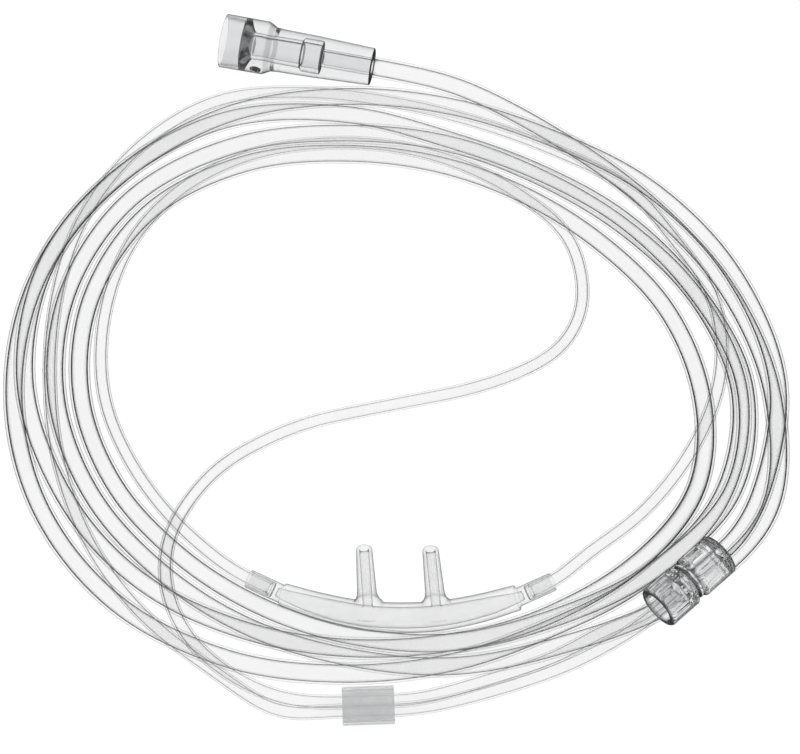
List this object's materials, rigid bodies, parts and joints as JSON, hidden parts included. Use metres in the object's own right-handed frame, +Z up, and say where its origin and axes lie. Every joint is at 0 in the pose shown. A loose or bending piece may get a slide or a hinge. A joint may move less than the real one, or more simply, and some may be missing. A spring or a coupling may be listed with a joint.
{
  "type": "nasal oxygen cannula",
  "caption": "Clear nasal oxygen cannula with curved two-prong nosepiece, lariat tubes, sliding collar, ribbed junction and long supply tube laid in a loose hank.",
  "frame": {"origin": "middle of the fittings' bounding box on the floor, under the hank of tubes", "axes": "+Z up from the floor, +Y from the nosepiece across the hank to the supply connector, +X towards the tube junction"},
  "size_m": [0.2057, 0.2066, 0.0243],
  "materials": {
    "clear_tube": "clear, glossy",
    "clear_fitting": "clear, glossy",
    "cloudy_sleeve": "cloudy, satin",
    "soft_clear": "soft, slightly milky, glossy"
  },
  "bodies": {
    "cannula": {"supply_connector": "clear_fitting", "supply_tube": "clear_tube", "tube_junction": "clear_fitting", "nosepiece": "soft_clear", "right_lariat_tube": "clear_tube", "left_lariat_tube": "clear_tube"},
    "slider": {"slider": "cloudy_sleeve"}
  },
  "joints": [
    {"name": "slider_slide", "type": "slide", "parent": "cannula", "child": "slider", "axis": [0.9994, 0.0349, 0], "range_m": [-0.004, 0.004]}
  ]
}
